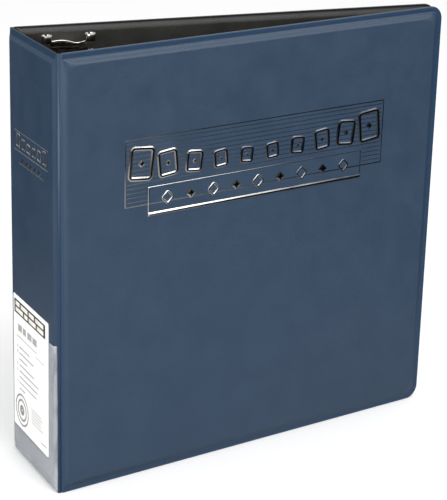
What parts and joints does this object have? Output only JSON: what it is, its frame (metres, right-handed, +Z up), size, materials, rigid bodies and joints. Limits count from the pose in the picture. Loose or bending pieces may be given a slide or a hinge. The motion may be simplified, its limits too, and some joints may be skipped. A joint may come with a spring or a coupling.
{
  "type": "ring binder",
  "caption": "Padded vinyl ring binder for trading card pages, with a D-ring mechanism riveted inside the back cover and a clear label pocket on the spine.",
  "frame": {"origin": "centre of the bounding box, on the level that the closed binder stands on", "axes": "+X from the spine to the fore edge, +Y from the front cover to the back cover, +Z up along the spine"},
  "size_m": [0.3048, 0.082, 0.295],
  "materials": {
    "navy_vinyl": "satin vinyl with a fine leather grain",
    "black_liner": "satin vinyl with a fine grain",
    "chipboard": "raw grey-brown board",
    "foam": "soft open-cell foam sheet",
    "clear_film": "clear glossy vinyl film",
    "label_card": null,
    "nickel_steel": "bright nickel plate"
  },
  "bodies": {
    "spine": {"spine_skin": "navy_vinyl", "spine_board": "chipboard", "spine_liner": "black_liner", "front_hinge_strip": "navy_vinyl", "back_hinge_strip": "navy_vinyl", "label_card": "label_card", "label_pocket": "clear_film"},
    "front_cover": {"front_skin": "navy_vinyl", "front_foam_pad": "foam", "front_board": "chipboard", "front_liner": "black_liner"},
    "back_cover": {"back_skin": "navy_vinyl", "back_foam_pad": "foam", "back_board": "chipboard", "back_liner": "black_liner", "ring_housing": "nickel_steel", "upper_rivet": "nickel_steel", "lower_rivet": "nickel_steel", "upper_booster_pin": "nickel_steel", "lower_booster_pin": "nickel_steel"},
    "curved_rings": {"curved_side_blade": "nickel_steel", "curved_ring_top": "nickel_steel", "curved_ring_middle": "nickel_steel", "curved_ring_bottom": "nickel_steel"},
    "straight_rings": {"straight_side_blade": "nickel_steel", "straight_ring_top": "nickel_steel", "straight_ring_middle": "nickel_steel", "straight_ring_bottom": "nickel_steel"},
    "upper_booster": {"upper_booster": "nickel_steel"},
    "lower_booster": {"lower_booster": "nickel_steel"}
  },
  "joints": [
    {"name": "front_hinge", "type": "hinge", "parent": "spine", "child": "front_cover", "pos_m": [-0.14905, -0.03935, 0.1475], "axis": [0, 0, -1], "range_deg": [0, 180], "deforming": ["front_hinge_strip"]},
    {"name": "back_hinge", "type": "hinge", "parent": "spine", "child": "back_cover", "pos_m": [-0.14905, 0.03935, 0.1475], "axis": [0, 0, 1], "range_deg": [0, 180], "deforming": ["back_hinge_strip"]},
    {"name": "curved_rings_hinge", "type": "hinge", "parent": "back_cover", "child": "curved_rings", "pos_m": [-0.12828, 0.03049, 0.1475], "axis": [0, 0, -1], "range_deg": [0, 16]},
    {"name": "straight_rings_hinge", "type": "hinge", "parent": "back_cover", "child": "straight_rings", "pos_m": [-0.10077, 0.02728, 0.1475], "axis": [0, 0, 1], "range_deg": [0, 16]},
    {"name": "upper_booster_hinge", "type": "hinge", "parent": "back_cover", "child": "upper_booster", "pos_m": [-0.11463, 0.02799, 0.278], "axis": [-0.9933, 0.1158, 0], "range_deg": [0, 18]},
    {"name": "lower_booster_hinge", "type": "hinge", "parent": "back_cover", "child": "lower_booster", "pos_m": [-0.11463, 0.02799, 0.017], "axis": [0.9933, -0.1158, 0], "range_deg": [0, 18]}
  ],
  "couplings": [
    {"joint": "straight_rings_hinge", "follows": "curved_rings_hinge", "ratio": 1},
    {"joint": "upper_booster_hinge", "follows": "curved_rings_hinge", "ratio": 1.125},
    {"joint": "lower_booster_hinge", "follows": "curved_rings_hinge", "ratio": 1.125}
  ]
}
